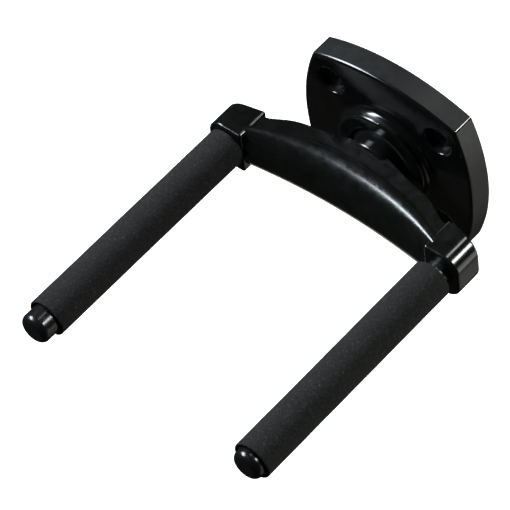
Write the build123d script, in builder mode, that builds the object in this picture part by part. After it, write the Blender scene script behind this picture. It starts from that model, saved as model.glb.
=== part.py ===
from build123d import *
import math
import os

# Wall hanger for one guitar: a cast wall plate, a swivelling cast yoke and two sleeved arms.
# Millimetres. X runs right, Y runs into the wall, Z runs up.
# The origin is the centre of the wall plate's back face, so the wall is the plane Y = 0.

# ---- wall plate ----
PLATE_CORNER = 26.5        # half the distance between neighbouring corners
PLATE_SAG = 5.1            # how far each bowed side bulges past its corners
PLATE_T = 8.0              # thickness
PLATE_CORNER_R = 1.5       # rounding of the four corners
PLATE_EDGE_R = 1.1         # rounding of the front edge
SCREW_PITCH_X = 40.0       # screw holes, centre to centre
SCREW_PITCH_Z = 37.0
SCREW_HOLE_R = 2.4         # clearance for a 4.5 mm wood screw
SCREW_HEAD_R = 4.8         # recess for its pan head
SCREW_HEAD_DEPTH = 2.6
SCREW_RIM_R = 0.6          # rounding of the recess mouth
SCREW_SEAT = 1.4           # bevelled seat at the bottom of the recess
OVERCUT = 1.0              # how far a cut runs past the face it starts from

# ---- boss on the plate ----
BOSS_R = 16.2
BOSS_FRONT = 11.6          # distance of the boss face from the wall
BOSS_FOOT_R = 2.2          # fillet between boss and plate
BOSS_EDGE_R = 0.9
BOSS_ROOT = 1.0            # how deep the boss starts inside the plate
RECESS_R = 11.6            # front recess that takes the bush flange and the hub
RECESS_FLOOR = 9.5
RECESS_RIM_R = 0.5
POCKET_R = 12.5            # rear pocket that takes the screw head and washers
POCKET_FLOOR = 5.8
BUSH_SEAT_R = 6.0

# ---- swivel ----
SHOULDER_R = 4.0
SHOULDER_GAP = 0.05        # radial running clearance in the bush
BUSH_FLANGE_R = 11.0
BUSH_FLANGE_T = 1.2
BUSH_SEAT_GAP = 0.03       # radial play between bush and plate
BUSH_EDGE = 0.3
THRUST_GAP = 0.06          # axial running clearance each side of the plate
THREAD_R = 2.95
THREAD_HOLE_R = 3.0
THREAD_END = 24.0
THREAD_TIP = 0.6           # chamfer at its tip
THREAD_RELIEF = 0.8        # depth of the tapped hole beyond the tip
THREAD_MOUTH = 0.5         # the tapped hole starts this far outside the hub face
HEAD_R = 6.6
HEAD_NEAR = 0.9            # wall side of the screw head
HEAD_FAR = 3.9
HEAD_EDGE_R = 0.8
HEAD_KEY_R = 2.5           # half the width across flats of the hexagon socket
HEAD_KEY_DEPTH = 2.4
REAR_WASHER_R = 9.5
REAR_WASHER_T = 1.0
REAR_WASHER_GAP = 0.1      # radial play on the shoulder
REAR_WASHER_EDGE = 0.15
WAVE_WASHER_R = 8.4
WAVE_WASHER_T = 0.7
WAVE_WASHER_GAP = 0.3
WAVE_WASHER_EDGE_R = 0.2

# ---- yoke ----
ARM_X = 40.0               # arm axes lie at X = -40 and X = +40
HUB_R = 9.4
HUB_RIM_R = 1.0
HUB_ROOT = 3.0             # how deep the hub runs into the crossbar
BLOCK_INNER_X = 34.4       # inner side of an end block
BLOCK_OUTER_X = 47.1
BLOCK_TOP = 7.7
BLOCK_BOTTOM = 8.8
BLOCK_ROUND = 5.6          # large rounding of its two outer corners
BLOCK_CORNER = 0.9         # rounding of the corners where it meets the crossbar
BLOCK_EDGE = 0.8           # rounding of its front and back rims
BLOCK_BACK_INNER = 21.5    # its back slants a little, like the crossbar's
BLOCK_BACK_OUTER = 24.2
BLOCK_FRONT = 33.8
BAR_TOP = 7.5              # crossbar, above and below the arm axes
BAR_BOTTOM = 7.2
BAR_END_X = 36.0
BAR_SECTIONS = 9
BACK_APEX = 13.2           # crossbar back: a blunt arrow that points at the wall
BACK_APEX_R = 1.0
BACK_SLOPE = 0.275
BACK_BEVEL = 0.5
FOOT_BEVEL = 0.8           # bevel of the lower back edge
CREASE_MID = 20.8          # where the flat top rail meets the crescent front, and its sweep
CREASE_FALL = 8.2
FRONT_MID = 31.0           # foremost line of the crescent front
FRONT_FALL = 2.7
LIP_MID = 2.2              # crescent stands this far above the rail
LIP_END = 0.5
RIDGE_DEPTH = 1.6          # rounded ridge between the rail and the crescent
RIDGE_LIFT = 0.9           # how upright the ridge leaves the rail, as a share of its height
RIDGE_LEAN = 0.6           # how long it stays level at its top, as a share of its depth
BROW_REACH = 0.42          # how long the crescent runs level before it rolls over
BROW_LIFT = 0.55           # how full it rolls over towards its foremost line
FRONT_Z = -1.0             # height of the foremost line
CHIN_Z = -4.6              # where the front starts to tuck under
CHIN_PULL = 1.4
CHIN_DEPTH = 3.6           # depth of the tucked lower edge

# ---- arms ----
ROD_R = 4.0
ROD_FIT = 0.03
ROD_BACK = 25.6
ROD_FRONT = 118.0
ROD_TIP = 0.5              # chamfer at both ends
SLEEVE_R = 6.4
SLEEVE_LEN = 80.2
LEFT_SLEEVE_FRONT = 114.2
RIGHT_SLEEVE_FRONT = 117.2
CAP_R = 5.0
CAP_BACK = 111.8
CAP_FRONT = 120.4
CAP_DOME = 2.1
LOCK_SCREW_R = 2.5
LOCK_SCREW_Y = 28.6
LOCK_SCREW_FIT = 0.03
LOCK_SCREW_SINK = 0.4      # how far it sits inside the block
LOCK_SCREW_GAP = 0.05      # between its tip and the rod
LOCK_HOLE_LAP = 0.5        # how far its hole runs into the socket
LOCK_KEY_R = 1.25          # half the width across flats of the hexagon socket
LOCK_KEY_DEPTH = 1.8

os.makedirs("parts", exist_ok=True)


def front_plane(distance, x=0.0, z=0.0):
    """A plane facing the room, the given distance in front of the wall, with X right and Z up."""
    return Plane(origin=(x, -distance, z), x_dir=(1, 0, 0), z_dir=(0, -1, 0))


# ---- wall plate ----
def bowed_square():
    """The plate's outline: four corners joined by four shallow outward arcs."""
    c = PLATE_CORNER
    m = PLATE_CORNER + PLATE_SAG
    ThreePointArc((-c, -c), (0, -m), (c, -c))
    ThreePointArc((c, -c), (m, 0), (c, c))
    ThreePointArc((c, c), (0, m), (-c, c))
    ThreePointArc((-c, c), (-m, 0), (-c, -c))


with BuildPart() as wall_plate:
    with BuildSketch(front_plane(0)):
        with BuildLine():
            bowed_square()
        make_face()
    extrude(amount=PLATE_T)
    fillet(wall_plate.edges().filter_by(Axis.Y), PLATE_CORNER_R)
    fillet(wall_plate.faces().sort_by(Axis.Y)[0].edges(), PLATE_EDGE_R)
    # central boss with a flared foot and a soft top edge
    with BuildSketch(front_plane(PLATE_T - BOSS_ROOT)):
        Circle(BOSS_R)
    extrude(amount=BOSS_FRONT - PLATE_T + BOSS_ROOT)
    boss_rings = wall_plate.edges().filter_by(GeomType.CIRCLE)
    boss_rings = boss_rings.filter_by(lambda e: abs(e.radius - BOSS_R) < 0.01).sort_by(Axis.Y)
    fillet(boss_rings[0], BOSS_EDGE_R)
    boss_foot = wall_plate.edges().filter_by(GeomType.CIRCLE)
    boss_foot = boss_foot.filter_by(lambda e: abs(e.radius - BOSS_R) < 0.01).sort_by(Axis.Y)
    fillet(boss_foot[-1], BOSS_FOOT_R)
    # front recess, bush seat and rear pocket on the swivel axis
    with BuildSketch(front_plane(RECESS_FLOOR)):
        Circle(RECESS_R)
    extrude(amount=BOSS_FRONT - RECESS_FLOOR + OVERCUT, mode=Mode.SUBTRACT)
    with BuildSketch(front_plane(0)):
        Circle(POCKET_R)
    extrude(amount=POCKET_FLOOR, mode=Mode.SUBTRACT)
    with BuildSketch(front_plane(0)):
        Circle(BUSH_SEAT_R)
    extrude(amount=BOSS_FRONT, mode=Mode.SUBTRACT)
    # four screw holes with recesses for the heads
    with Locations(front_plane(PLATE_T)):
        with GridLocations(SCREW_PITCH_X, SCREW_PITCH_Z, 2, 2):
            CounterBoreHole(SCREW_HOLE_R, SCREW_HEAD_R, SCREW_HEAD_DEPTH, PLATE_T)
    mouths = wall_plate.edges().filter_by(GeomType.CIRCLE)
    mouths = mouths.filter_by(lambda e: abs(e.radius - SCREW_HEAD_R) < 0.01)
    fillet(mouths.filter_by(lambda e: e.center().Y < -PLATE_T + 0.1), SCREW_RIM_R)
    seats = wall_plate.edges().filter_by(GeomType.CIRCLE)
    seats = seats.filter_by(lambda e: abs(e.radius - SCREW_HOLE_R) < 0.01)
    chamfer(seats.filter_by(lambda e: e.center().Y < -PLATE_T / 4), SCREW_SEAT)
    inner_rim = wall_plate.edges().filter_by(GeomType.CIRCLE)
    inner_rim = inner_rim.filter_by(lambda e: abs(e.radius - RECESS_R) < 0.01).sort_by(Axis.Y)
    fillet(inner_rim[0], RECESS_RIM_R)

wall_plate.part.label = "wall_plate"
export_step(wall_plate.part, "parts/wall_plate.step")


# ---- swivel ----
with BuildPart() as pivot_bush:
    with BuildSketch(front_plane(POCKET_FLOOR)):
        Circle(BUSH_SEAT_R - BUSH_SEAT_GAP)
        Circle(SHOULDER_R + SHOULDER_GAP, mode=Mode.SUBTRACT)
    extrude(amount=RECESS_FLOOR - POCKET_FLOOR)
    with BuildSketch(front_plane(RECESS_FLOOR)):
        Circle(BUSH_FLANGE_R)
        Circle(SHOULDER_R + SHOULDER_GAP, mode=Mode.SUBTRACT)
    extrude(amount=BUSH_FLANGE_T)
    chamfer(pivot_bush.edges().group_by(Axis.Y)[0].sort_by(SortBy.LENGTH)[-1], BUSH_EDGE)

pivot_bush.part.label = "pivot_bush"
export_step(pivot_bush.part, "parts/pivot_bush.step")

HUB_FACE = RECESS_FLOOR + BUSH_FLANGE_T + THRUST_GAP
REAR_WASHER_FAR = POCKET_FLOOR
REAR_WASHER_NEAR = REAR_WASHER_FAR - REAR_WASHER_T

with BuildPart() as rear_washer:
    with BuildSketch(front_plane(REAR_WASHER_NEAR)):
        Circle(REAR_WASHER_R)
        Circle(SHOULDER_R + REAR_WASHER_GAP, mode=Mode.SUBTRACT)
    extrude(amount=REAR_WASHER_T)
    rear_rims = rear_washer.edges().filter_by(GeomType.CIRCLE)
    chamfer(rear_rims.filter_by(lambda e: e.radius > REAR_WASHER_R - 0.01), REAR_WASHER_EDGE)

rear_washer.part.label = "rear_washer"
export_step(rear_washer.part, "parts/rear_washer.step")

with BuildPart() as wave_washer:
    # shown flat, as it lies when squeezed between the screw head and the rear washer
    with BuildSketch(front_plane(HEAD_FAR)):
        Circle(WAVE_WASHER_R)
        Circle(SHOULDER_R + WAVE_WASHER_GAP, mode=Mode.SUBTRACT)
    extrude(amount=WAVE_WASHER_T)
    wave_rims = wave_washer.edges().filter_by(GeomType.CIRCLE)
    fillet(wave_rims, WAVE_WASHER_EDGE_R)

wave_washer.part.label = "wave_washer"
export_step(wave_washer.part, "parts/wave_washer.step")

with BuildPart() as pivot_screw:
    with BuildSketch(front_plane(HEAD_NEAR)):
        Circle(HEAD_R)
    extrude(amount=HEAD_FAR - HEAD_NEAR)
    fillet(pivot_screw.edges().group_by(Axis.Y)[-1], HEAD_EDGE_R)
    with BuildSketch(front_plane(HEAD_FAR)):
        Circle(SHOULDER_R)
    extrude(amount=HUB_FACE - HEAD_FAR)
    with BuildSketch(front_plane(HUB_FACE)):
        Circle(THREAD_R)
    extrude(amount=THREAD_END - HUB_FACE)
    chamfer(pivot_screw.edges().group_by(Axis.Y)[0], THREAD_TIP)
    with BuildSketch(front_plane(HEAD_NEAR)):
        RegularPolygon(HEAD_KEY_R, 6, major_radius=False)
    extrude(amount=HEAD_KEY_DEPTH, mode=Mode.SUBTRACT)

pivot_screw.part.label = "pivot_screw"
export_step(pivot_screw.part, "parts/pivot_screw.step")


# ---- yoke ----
def bar_levels(x):
    """Back, crease and foremost line of the crossbar at X, and how far its crescent stands proud."""
    u = (x / BAR_END_X) ** 2
    back = -(BACK_APEX - BACK_APEX_R + math.hypot(BACK_APEX_R, BACK_SLOPE * x))
    crease = -(CREASE_MID + CREASE_FALL * u)
    front = -(FRONT_MID + FRONT_FALL * u)
    lip = LIP_MID + (LIP_END - LIP_MID) * u
    return back, crease, front, lip


def make_block(side):
    """End block: broad round corners on its outer side, a slightly slanted back, softened rims."""
    inner = side * BLOCK_INNER_X
    outer = side * BLOCK_OUTER_X
    with BuildPart() as block:
        with BuildSketch(Plane.XY.offset(-BLOCK_BOTTOM)):
            with BuildLine():
                Polyline(
                    (inner, -BLOCK_BACK_INNER),
                    (outer, -BLOCK_BACK_OUTER),
                    (outer, -BLOCK_FRONT),
                    (inner, -BLOCK_FRONT),
                    close=True,
                )
            make_face()
        extrude(amount=BLOCK_TOP + BLOCK_BOTTOM)
        corners = block.edges().filter_by(Axis.Y)
        fillet(corners.filter_by(lambda e: abs(e.center().X) > ARM_X), BLOCK_ROUND)
        corners = block.edges().filter_by(Axis.Y)
        fillet(corners.filter_by(lambda e: abs(e.center().X) < BLOCK_INNER_X + 0.1), BLOCK_CORNER)
        ends = block.faces().sort_by(Axis.Y)
        fillet(ends[0].edges() + ends[-1].edges(), BLOCK_EDGE)
    return block


with BuildPart() as hub:
    # short round hub that turns in the plate's boss
    with BuildSketch(front_plane(HUB_FACE)):
        Circle(HUB_R)
    extrude(amount=BACK_APEX + HUB_ROOT - HUB_FACE)
    fillet(hub.edges().group_by(Axis.Y)[0], HUB_RIM_R)

with BuildPart() as yoke:
    # crossbar: blunt arrow back, flat top rail, full rounded crescent front
    top = BAR_TOP
    base = -BAR_BOTTOM
    for i in range(BAR_SECTIONS):
        x = BAR_END_X * (2 * i / (BAR_SECTIONS - 1) - 1)
        back, crease, front, lip = bar_levels(x)
        ridge = crease - RIDGE_DEPTH
        reach = ridge - front
        with BuildSketch(Plane(origin=(x, 0, 0), x_dir=(0, 1, 0), z_dir=(1, 0, 0))):
            with BuildLine():
                Line((back, base + FOOT_BEVEL), (back, top - BACK_BEVEL))
                Line((back, top - BACK_BEVEL), (back - BACK_BEVEL, top))
                Line((back - BACK_BEVEL, top), (crease, top))
                Bezier(
                    (crease, top),
                    (crease, top + RIDGE_LIFT * lip),
                    (ridge + RIDGE_LEAN * RIDGE_DEPTH, top + lip),
                    (ridge, top + lip),
                )
                Bezier(
                    (ridge, top + lip),
                    (ridge - BROW_REACH * reach, top + lip),
                    (front, BROW_LIFT * top),
                    (front, FRONT_Z),
                )
                Bezier(
                    (front, FRONT_Z),
                    (front, CHIN_Z),
                    (front + CHIN_PULL, base),
                    (front + CHIN_DEPTH, base),
                )
                Line((front + CHIN_DEPTH, base), (back - FOOT_BEVEL, base))
                Line((back - FOOT_BEVEL, base), (back, base + FOOT_BEVEL))
            make_face()
    loft()
    # end blocks that hold the arms, and the hub
    add(make_block(-1).part)
    add(make_block(1).part)
    add(hub.part)
    # sockets for the arms
    with BuildSketch(front_plane(ROD_BACK)):
        with Locations((-ARM_X, 0), (ARM_X, 0)):
            Circle(ROD_R + ROD_FIT)
    extrude(amount=BLOCK_FRONT - ROD_BACK + OVERCUT, mode=Mode.SUBTRACT)
    # tapped holes: one for the pivot screw, one under each arm
    with BuildSketch(front_plane(HUB_FACE - THREAD_MOUTH)):
        Circle(THREAD_HOLE_R)
    extrude(amount=THREAD_MOUTH + THREAD_END - HUB_FACE + THREAD_RELIEF, mode=Mode.SUBTRACT)
    with BuildSketch(Plane.XY.offset(-BLOCK_BOTTOM - OVERCUT)):
        with Locations((-ARM_X, -LOCK_SCREW_Y), (ARM_X, -LOCK_SCREW_Y)):
            Circle(LOCK_SCREW_R + LOCK_SCREW_FIT)
    extrude(amount=BLOCK_BOTTOM + OVERCUT - ROD_R + LOCK_HOLE_LAP, mode=Mode.SUBTRACT)

yoke.part.label = "yoke"
export_step(yoke.part, "parts/yoke.step")


# ---- arms ----
with BuildPart() as arm_lock_screws:
    # headless screws with a hexagon socket, driven up against the arms from below
    with BuildSketch(Plane.XY.offset(LOCK_SCREW_SINK - BLOCK_BOTTOM)):
        with Locations((-ARM_X, -LOCK_SCREW_Y), (ARM_X, -LOCK_SCREW_Y)):
            Circle(LOCK_SCREW_R)
    extrude(amount=BLOCK_BOTTOM - LOCK_SCREW_SINK - ROD_R - LOCK_SCREW_GAP)
    with BuildSketch(Plane.XY.offset(LOCK_SCREW_SINK - BLOCK_BOTTOM)):
        with Locations((-ARM_X, -LOCK_SCREW_Y), (ARM_X, -LOCK_SCREW_Y)):
            RegularPolygon(LOCK_KEY_R, 6, major_radius=False)
    extrude(amount=LOCK_KEY_DEPTH, mode=Mode.SUBTRACT)

arm_lock_screws.part.label = "arm_lock_screws"
export_step(arm_lock_screws.part, "parts/arm_lock_screws.step")


def make_rod(side):
    """Steel rod from the bottom of its socket to just inside the end cap."""
    with BuildPart() as rod:
        with BuildSketch(front_plane(ROD_BACK, side * ARM_X)):
            Circle(ROD_R)
        extrude(amount=ROD_FRONT - ROD_BACK)
        chamfer(rod.edges().filter_by(GeomType.CIRCLE), ROD_TIP)
    return rod


def make_sleeve(side, front):
    """Foam tube over the rod; its front end is stretched over the cap's skirt."""
    with BuildPart() as sleeve:
        with BuildSketch(front_plane(front - SLEEVE_LEN, side * ARM_X)):
            Circle(SLEEVE_R)
            Circle(ROD_R, mode=Mode.SUBTRACT)
        extrude(amount=SLEEVE_LEN)
        with BuildSketch(front_plane(CAP_BACK, side * ARM_X)):
            Circle(CAP_R)
        extrude(amount=front - CAP_BACK, mode=Mode.SUBTRACT)
    return sleeve


def make_cap(side):
    """Push-on cap with a domed end."""
    with BuildPart() as cap:
        with BuildSketch(front_plane(CAP_BACK, side * ARM_X)):
            Circle(CAP_R)
        extrude(amount=CAP_FRONT - CAP_BACK)
        fillet(cap.edges().filter_by(GeomType.CIRCLE).sort_by(Axis.Y)[0], CAP_DOME)
        with BuildSketch(front_plane(CAP_BACK, side * ARM_X)):
            Circle(ROD_R)
        extrude(amount=ROD_FRONT - CAP_BACK, mode=Mode.SUBTRACT)
    return cap


left_rod = make_rod(-1)
left_rod.part.label = "left_rod"
export_step(left_rod.part, "parts/left_rod.step")

right_rod = make_rod(1)
right_rod.part.label = "right_rod"
export_step(right_rod.part, "parts/right_rod.step")

left_sleeve = make_sleeve(-1, LEFT_SLEEVE_FRONT)
left_sleeve.part.label = "left_sleeve"
export_step(left_sleeve.part, "parts/left_sleeve.step")

right_sleeve = make_sleeve(1, RIGHT_SLEEVE_FRONT)
right_sleeve.part.label = "right_sleeve"
export_step(right_sleeve.part, "parts/right_sleeve.step")

left_cap = make_cap(-1)
left_cap.part.label = "left_cap"
export_step(left_cap.part, "parts/left_cap.step")

right_cap = make_cap(1)
right_cap.part.label = "right_cap"
export_step(right_cap.part, "parts/right_cap.step")
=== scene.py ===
import math

import bmesh
import bpy
from mathutils import Matrix, Vector, noise


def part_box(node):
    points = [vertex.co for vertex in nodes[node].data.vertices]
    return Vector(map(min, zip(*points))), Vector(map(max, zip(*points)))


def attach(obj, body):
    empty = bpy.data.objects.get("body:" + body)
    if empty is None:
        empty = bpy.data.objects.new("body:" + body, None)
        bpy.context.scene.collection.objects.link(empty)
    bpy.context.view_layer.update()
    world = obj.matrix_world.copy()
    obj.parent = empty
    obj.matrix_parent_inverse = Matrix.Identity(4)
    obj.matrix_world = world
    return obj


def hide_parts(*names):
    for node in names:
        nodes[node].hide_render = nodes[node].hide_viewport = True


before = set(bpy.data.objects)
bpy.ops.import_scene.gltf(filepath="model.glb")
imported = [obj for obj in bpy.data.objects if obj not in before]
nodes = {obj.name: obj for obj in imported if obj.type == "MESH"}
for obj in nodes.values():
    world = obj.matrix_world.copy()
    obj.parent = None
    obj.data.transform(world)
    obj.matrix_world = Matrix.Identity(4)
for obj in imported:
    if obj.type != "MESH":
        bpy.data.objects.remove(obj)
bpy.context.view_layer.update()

# Wall guitar hanger: finishes for the cast and steel parts, two foam sleeves, studio and camera.
# Metres, in the frame of the CAD: X right, Y into the wall, Z up.

scene = bpy.context.scene
MM = 0.001
WHITE = (1.0, 1.0, 1.0)

# ---- camera ----
CAMERA_AZIMUTH = 46.276            # degrees
CAMERA_ELEVATION = 51.05
CAMERA_ROLL = -7.748
CAMERA_DISTANCE = 1.18487
CAMERA_TARGET = Vector((-0.019876, -0.048, -0.022734))
SENSOR_WIDTH = 36.0                # millimetres, as for the lens
LENS = 282.35
CLIP_NEAR, CLIP_FAR = 0.05, 20.0

# ---- finishes: linear colours, noise scales per metre ----
NOISE_LOW, NOISE_HIGH = 0.3, 0.7   # where most of a noise texture's values lie
CASTING_DARK, CASTING_LIGHT = (0.0020, 0.0021, 0.0020), (0.0044, 0.0046, 0.0043)
YOKE_DARK, YOKE_LIGHT = (0.0022, 0.0024, 0.0022), (0.0056, 0.0060, 0.0054)
WORN_ENAMEL = (0.020, 0.020, 0.019)
WEAR_COVER = 0.35                  # how far a worn patch hides the enamel
WEAR_ROUGH = 0.06
FACING_ROOM, FACING_SIDE = -0.35, -0.02   # Y of the normal where the gloss ends and the satin is full
CORNER_START, CORNER_FULL = 0.35, 0.40    # |X times Z| of the normal on a polished corner
FOAM_DARK, FOAM_LIGHT = (0.0050, 0.0050, 0.0050), (0.0120, 0.0118, 0.0114)
# The pore colour is painted shade: the bottoms of the open cells are coloured darker than the skin.
FOAM_GRAIN, FOAM_PIT_SHADE = (0.0260, 0.0255, 0.0245), (0.0020, 0.0020, 0.0020)
FOAM_DUST = (0.085, 0.083, 0.078)
PLASTIC_DARK, PLASTIC_LIGHT = (0.0035, 0.0035, 0.0036), (0.0080, 0.0080, 0.0080)
ROD_DARK, ROD_LIGHT = (0.005, 0.005, 0.005), (0.010, 0.010, 0.010)
BLACK_STEEL_DARK, BLACK_STEEL_LIGHT = (0.03, 0.03, 0.033), (0.07, 0.07, 0.075)
ZINC_DARK, ZINC_LIGHT = (0.45, 0.46, 0.48), (0.62, 0.63, 0.65)
NYLON_DARK, NYLON_LIGHT = (0.010, 0.010, 0.010), (0.022, 0.022, 0.021)

# ---- foam sleeves ----
SEGMENTS = 128                     # round the tube
LENGTH_STEPS = 200
EDGE_R = 0.35 * MM                 # rounding of both ends
EDGE_STEPS = 4
FIT = 0.03 * MM                    # clearance to the rod and the cap
LIP_DEPTH = 0.15 * MM              # funnel in the front end: its lip, its throat, and where it grips the cap
LIP_DROP = 2 * EDGE_R
THROAT_DEPTH = 0.9 * MM
THROAT_GAP = 0.25 * MM
GRIP_DEPTH = 1.6 * MM
CAP_STEP = 0.3 * MM                # slope from the cap's skirt to the rod
SKIN_DEPTH = 1.0 * MM              # only the outer skin is uneven
SAG_SCALE, SAG_HEIGHT = 90.0, 0.05 * MM
GRAIN_SCALE, GRAIN_HEIGHT = 1500.0, 0.022 * MM
SKIN_INSET = 0.045 * MM            # keeps the uneven skin inside the CAD tube
SIDE_SHIFT = 7.0                   # gives the two sleeves different noise

# ---- studio ----
FLOOR_REACH, FLOOR_LEVEL = 6.0, -0.45
FLOOR_DARK, FLOOR_LIGHT = (0.86, 0.86, 0.86), (0.90, 0.90, 0.90)
FLOOR_GLOW = 0.8
SKY_SEEN = (0.95, 0.95, 0.95, 1)
SKY_FILL, SKY_FILL_STRENGTH = (1.0, 0.98, 0.88, 1), 0.025
LIGHT_AIM = Vector((0.0, -0.04, 0.0))
# name, direction from the aim, distance, width, height, watts, colour
LIGHTS = (
    ("key_left", (-0.72, -0.24, 0.66), 1.3, 0.9, 0.42, 34.0, (0.84, 0.92, 1.0)),
    ("back_top", (-0.05, 0.46, 0.89), 1.4, 0.24, 0.24, 1.6, WHITE),
    ("right_back", (0.62, 0.44, 0.65), 1.3, 0.24, 0.30, 9.0, WHITE),
    ("low_back", (-0.45, 0.17, -0.87), 0.42, 0.16, 0.12, 0.05, (1.0, 0.86, 0.82)),
    ("wall_side", (0.68, 0.68, -0.20), 1.2, 0.9, 0.6, 3.5, (0.96, 1.0, 0.95)),
    ("low_right", (0.72, 0.43, -0.54), 0.6, 0.70, 0.60, 0.45, (0.96, 1.0, 0.93)),
)


def make_camera():
    azimuth, elevation = math.radians(CAMERA_AZIMUTH), math.radians(CAMERA_ELEVATION)
    roll = math.radians(CAMERA_ROLL)
    level = math.cos(elevation)
    back = Vector((math.sin(azimuth) * level, -math.cos(azimuth) * level, math.sin(elevation)))
    right = (-back).cross(Vector((0, 0, 1))).normalized()
    up = right.cross(-back)
    turned_right = math.cos(roll) * right + math.sin(roll) * up
    turned_up = -math.sin(roll) * right + math.cos(roll) * up
    data = bpy.data.cameras.new("camera")
    data.sensor_width = SENSOR_WIDTH
    data.lens = LENS
    data.clip_start = CLIP_NEAR
    data.clip_end = CLIP_FAR
    camera = bpy.data.objects.new("camera", data)
    scene.collection.objects.link(camera)
    turn = Matrix((turned_right, turned_up, back)).transposed().to_4x4()
    camera.matrix_world = Matrix.Translation(CAMERA_TARGET + back * CAMERA_DISTANCE) @ turn
    scene.camera = camera


# ---- materials ----
class Nodes:
    """One procedural material: short calls that add nodes round its Principled shader."""

    def __init__(self, name):
        self.material = bpy.data.materials.new(name)
        self.material.use_nodes = True
        self.tree = self.material.node_tree
        self.shader = self.tree.nodes["Principled BSDF"]
        self.coords = self.add("ShaderNodeTexCoord")

    def plug(self, socket, value):
        """Link a socket to another socket, or give it a fixed value."""
        if isinstance(value, bpy.types.NodeSocket):
            self.tree.links.new(value, socket)
        else:
            socket.default_value = value

    def add(self, kind, **inputs):
        node = self.tree.nodes.new(kind)
        for key, value in inputs.items():
            self.plug(node.inputs[key.replace("_", " ")], value)
        return node

    def link(self, key, value):
        self.plug(self.shader.inputs[key], value)

    def noise(self, scale, detail=3.0, rough=0.55):
        where = self.coords.outputs["Object"]
        node = self.add("ShaderNodeTexNoise", Vector=where, Scale=scale, Detail=detail, Roughness=rough)
        return node.outputs["Fac"]

    def cells(self, scale):
        where = self.coords.outputs["Object"]
        return self.add("ShaderNodeTexVoronoi", Vector=where, Scale=scale).outputs["Distance"]

    def span(self, value, low, high, to_low=0.0, to_high=1.0):
        node = self.add("ShaderNodeMapRange", Value=value)
        node.inputs["From Min"].default_value = low
        node.inputs["From Max"].default_value = high
        node.inputs["To Min"].default_value = to_low
        node.inputs["To Max"].default_value = to_high
        return node.outputs["Result"]

    def spread(self, value, to_low=0.0, to_high=1.0):
        """Stretch a noise texture's usual range to the given one."""
        return self.span(value, NOISE_LOW, NOISE_HIGH, to_low, to_high)

    def maths(self, operation, a, b=0.0):
        node = self.tree.nodes.new("ShaderNodeMath")
        node.operation = operation
        self.plug(node.inputs[0], a)
        self.plug(node.inputs[1], b)
        return node.outputs[0]

    def blend(self, factor, low, high):
        node = self.tree.nodes.new("ShaderNodeMix")
        node.data_type = "RGBA"
        self.tree.links.new(factor, node.inputs["Factor"])
        for index, colour in ((6, low), (7, high)):
            flat = isinstance(colour, tuple)
            self.plug(node.inputs[index], (*colour, 1.0) if flat else colour)
        return node.outputs[2]

    def mottled(self, scale, dark, light):
        """Two shades mixed by noise."""
        return self.blend(self.spread(self.noise(scale)), dark, light)

    def bump(self, height, strength, distance, normal=None):
        node = self.add("ShaderNodeBump", Strength=strength, Distance=distance, Height=height)
        if normal is not None:
            self.tree.links.new(normal, node.inputs["Normal"])
        return node.outputs["Normal"]


def gloss_casting(name, front_rough, side_rough, dark, light):
    """Black enamel on a casting: glossy where it faces the room, satin on its flanks, slightly worn."""
    m = Nodes(name)
    tone = m.mottled(160.0, dark, light)
    wear = m.span(m.noise(38.0, 5.0), 0.62, 0.74)
    m.link("Base Color", m.blend(m.maths("MULTIPLY", wear, WEAR_COVER), tone, WORN_ENAMEL))
    normal = m.add("ShaderNodeSeparateXYZ", Vector=m.coords.outputs["Normal"])
    flank = m.span(normal.outputs["Y"], FACING_ROOM, FACING_SIDE)
    corner = m.maths("ABSOLUTE", m.maths("MULTIPLY", normal.outputs["X"], normal.outputs["Z"]))
    satin = m.maths("MULTIPLY", flank, m.span(corner, CORNER_START, CORNER_FULL, 1.0, 0.0))
    polish = m.span(satin, 0.0, 1.0, front_rough, side_rough)
    grain = m.spread(m.noise(420.0), -0.04, 0.04)
    rough = m.maths("ADD", m.maths("ADD", polish, grain), m.maths("MULTIPLY", wear, WEAR_ROUGH))
    m.link("Roughness", rough)
    peel = m.bump(m.noise(900.0, 2.0), 0.10, 0.00005)
    m.link("Normal", m.bump(m.noise(90.0, 2.0), 0.10, 0.0002, peel))
    return m.material


def foam():
    """Fine-celled neoprene: mottled grainy skin, open cells as pits painted darker as their shade, a few pale
    specks of dust.
    """
    m = Nodes("black_foam")
    patches = m.noise(150.0, 4.0)
    grain = m.noise(1300.0, 3.0, 0.7)
    cloud = m.blend(m.spread(patches), FOAM_DARK, FOAM_LIGHT)
    tone = m.blend(m.span(grain, 0.50, 0.72), cloud, FOAM_GRAIN)
    pits = m.cells(2100.0)
    # Painted shade: the bottom of each pit is coloured darker, as shade in the open cell.
    pit_shaded = m.blend(m.span(pits, 0.05, 0.45), FOAM_PIT_SHADE, tone)
    speck = m.span(m.cells(620.0), 0.0, 0.18, 1.0, 0.0)
    speck = m.maths("MULTIPLY", speck, m.span(patches, 0.52, 0.62))
    m.link("Base Color", m.blend(speck, pit_shaded, FOAM_DUST))
    m.link("Roughness", m.spread(patches, 0.86, 0.96))
    m.shader.inputs["Specular IOR Level"].default_value = 0.22
    m.shader.inputs["Sheen Weight"].default_value = 0.03
    m.shader.inputs["Sheen Roughness"].default_value = 0.6
    surface = m.bump(pits, 0.7, 0.00014)
    m.link("Normal", m.bump(m.noise(700.0, 3.0, 0.65), 0.6, 0.00030, surface))
    return m.material


def simple_finish(name, scale, shades, rough, rough_scale, bump_scale, bump, metal=0.0):
    """Mottled shades, uneven gloss and a fine surface. bump is its strength and its depth in metres."""
    m = Nodes(name)
    m.link("Base Color", m.mottled(scale, *shades))
    m.shader.inputs["Metallic"].default_value = metal
    m.link("Roughness", m.spread(m.noise(rough_scale), *rough))
    m.link("Normal", m.bump(m.noise(bump_scale), *bump))
    return m.material


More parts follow.
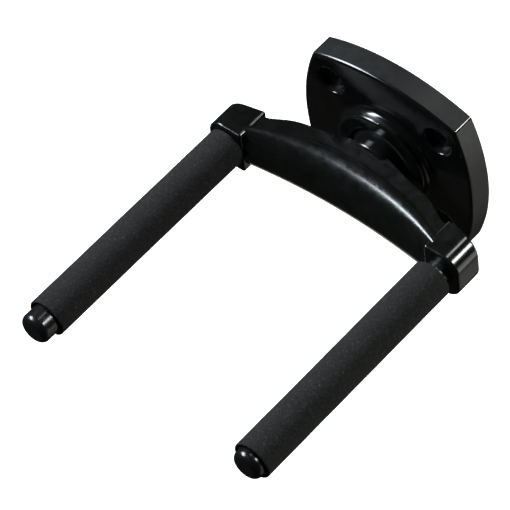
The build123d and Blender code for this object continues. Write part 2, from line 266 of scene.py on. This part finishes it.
def finish_nodes():
    plate = gloss_casting("gloss_black_casting", 0.15, 0.44, CASTING_DARK, CASTING_LIGHT)
    yoke = gloss_casting("gloss_black_yoke", 0.18, 0.16, YOKE_DARK, YOKE_LIGHT)
    plastic = simple_finish(
        "gloss_black_plastic", 260.0, (PLASTIC_DARK, PLASTIC_LIGHT), (0.17, 0.27), 700.0, 500.0,
        (0.03, 0.0001))
    rod = simple_finish(
        "black_rod", 300.0, (ROD_DARK, ROD_LIGHT), (0.28, 0.42), 900.0, 1200.0, (0.1, 0.00005))
    black_steel = simple_finish(
        "blackened_steel", 500.0, (BLACK_STEEL_DARK, BLACK_STEEL_LIGHT), (0.3, 0.45), 900.0, 1500.0,
        (0.15, 0.00004), metal=1.0)
    zinc = simple_finish(
        "zinc_plated_steel", 500.0, (ZINC_DARK, ZINC_LIGHT), (0.25, 0.4), 900.0, 1500.0,
        (0.15, 0.00004), metal=1.0)
    nylon = simple_finish(
        "black_nylon", 400.0, (NYLON_DARK, NYLON_LIGHT), (0.45, 0.6), 900.0, 1200.0, (0.2, 0.00005))
    finishes = {
        "wall_plate": plate, "yoke": yoke, "pivot_bush": nylon, "rear_washer": zinc, "wave_washer": zinc,
        "pivot_screw": black_steel, "arm_lock_screws": black_steel, "left_rod": rod, "right_rod": rod,
        "left_cap": plastic, "right_cap": plastic,
    }
    for name, material in finishes.items():
        for slot in nodes[name].material_slots:
            slot.material = material


# ---- foam sleeves ----
def sleeve_profile(back, front, outer, inner, cap_radius, cap_back):
    """Closed outline of half the tube: (distance from the wall, radius), out to the front and back inside."""
    angles = [math.pi / 2 * i / EDGE_STEPS for i in range(EDGE_STEPS + 1)]
    rounding = [(EDGE_R * (1 - math.sin(a)), EDGE_R * (1 - math.cos(a))) for a in angles]
    points = [(back + along, outer - across) for along, across in reversed(rounding)]
    length = (front - EDGE_R) - (back + EDGE_R)
    for i in range(1, LENGTH_STEPS):
        points.append((back + EDGE_R + length * i / LENGTH_STEPS, outer))
    points += [(front - along, outer - across) for along, across in rounding]
    points.append((front - LIP_DEPTH, outer - LIP_DROP))
    points.append((front - THROAT_DEPTH, cap_radius + THROAT_GAP))
    points.append((front - GRIP_DEPTH, cap_radius + FIT))
    points.append((cap_back, cap_radius + FIT))
    points.append((cap_back - CAP_STEP, inner + FIT))
    points.append((back, inner + FIT))
    return points


def make_sleeve(side, node, cap, rod):
    """Foam tube in the place of the CAD sleeve, with a slightly uneven skin."""
    low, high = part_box(node)
    cap_low, cap_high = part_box(cap)
    rod_low, rod_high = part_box(rod)
    centre_x = (low.x + high.x) / 2
    centre_z = (low.z + high.z) / 2
    outer = (high.x - low.x) / 2
    inner = (rod_high.x - rod_low.x) / 2
    profile = sleeve_profile(-high.y, -low.y, outer, inner, (cap_high.x - cap_low.x) / 2, -cap_high.y)
    shift = Vector((side * SIDE_SHIFT, 0, 0))
    mesh = bmesh.new()
    rings = []
    for distance, radius in profile:
        ring = []
        for k in range(SEGMENTS):
            a = 2 * math.pi * k / SEGMENTS
            direction = Vector((math.cos(a), 0, math.sin(a)))
            p = Vector((centre_x, -distance, centre_z)) + direction * radius
            if radius > outer - SKIN_DEPTH:
                sag = noise.noise(p * SAG_SCALE + shift) * SAG_HEIGHT
                grain = noise.noise(p * GRAIN_SCALE) * GRAIN_HEIGHT
                p += direction * (sag + grain - SKIN_INSET)
            ring.append(mesh.verts.new(p))
        rings.append(ring)
    for a, b in zip(rings, rings[1:] + rings[:1]):
        for k in range(SEGMENTS):
            following = (k + 1) % SEGMENTS
            mesh.faces.new((a[k], a[following], b[following], b[k]))
    bmesh.ops.recalc_face_normals(mesh, faces=mesh.faces)
    data = bpy.data.meshes.new(node + "_foam")
    mesh.to_mesh(data)
    mesh.free()
    for polygon in data.polygons:
        polygon.use_smooth = True
    piece = bpy.data.objects.new(node + "_foam", data)
    scene.collection.objects.link(piece)
    return piece


def add_sleeves():
    material = foam()
    for side, name in ((-1, "left"), (1, "right")):
        piece = make_sleeve(side, name + "_sleeve", name + "_cap", name + "_rod")
        piece.data.materials.append(material)
        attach(piece, "swivelling_yoke")
        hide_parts(name + "_sleeve")


# ---- studio ----
def make_floor():
    mesh = bpy.data.meshes.new("floor")
    corners = ((-1, -1), (1, -1), (1, 1), (-1, 1))
    points = [(x * FLOOR_REACH, y * FLOOR_REACH, FLOOR_LEVEL) for x, y in corners]
    mesh.from_pydata(points, [], [(0, 1, 2, 3)])
    floor = bpy.data.objects.new("floor", mesh)
    scene.collection.objects.link(floor)
    m = Nodes("pale_floor")
    m.link("Base Color", m.blend(m.noise(6.0), FLOOR_DARK, FLOOR_LIGHT))
    m.shader.inputs["Roughness"].default_value = 0.9
    m.shader.inputs["Emission Color"].default_value = (*WHITE, 1.0)
    m.shader.inputs["Emission Strength"].default_value = FLOOR_GLOW
    mesh.materials.append(m.material)
    floor.visible_glossy = False
    floor.visible_diffuse = False


def make_world():
    """A pale backdrop for the camera, and a much weaker fill light for everything else."""
    world = bpy.data.worlds.new("studio")
    scene.world = world
    world.use_nodes = True
    tree = world.node_tree
    tree.nodes.clear()
    path = tree.nodes.new("ShaderNodeLightPath")
    mix = tree.nodes.new("ShaderNodeMixShader")
    tree.links.new(path.outputs["Is Camera Ray"], mix.inputs["Fac"])
    for index, colour, strength in ((1, SKY_FILL, SKY_FILL_STRENGTH), (2, SKY_SEEN, 1.0)):
        background = tree.nodes.new("ShaderNodeBackground")
        background.inputs["Color"].default_value = colour
        background.inputs["Strength"].default_value = strength
        tree.links.new(background.outputs[0], mix.inputs[index])
    out = tree.nodes.new("ShaderNodeOutputWorld")
    tree.links.new(mix.outputs[0], out.inputs["Surface"])


def add_light(name, towards, away, width, height, power, shade):
    """Soft rectangular light that the camera doesn't see, facing the aim."""
    data = bpy.data.lights.new(name, "AREA")
    data.shape = "RECTANGLE"
    data.size = width
    data.size_y = height
    data.energy = power
    data.color = shade
    light = bpy.data.objects.new(name, data)
    light.visible_camera = False
    scene.collection.objects.link(light)
    place = LIGHT_AIM + Vector(towards).normalized() * away
    turn = (place - LIGHT_AIM).to_track_quat("Z", "Y").to_matrix().to_4x4()
    light.matrix_world = Matrix.Translation(place) @ turn


def make_studio():
    make_floor()
    make_world()
    for light in LIGHTS:
        add_light(*light)
    scene.view_settings.view_transform = "Standard"
    scene.view_settings.look = "None"


make_camera()
finish_nodes()
add_sleeves()
make_studio()
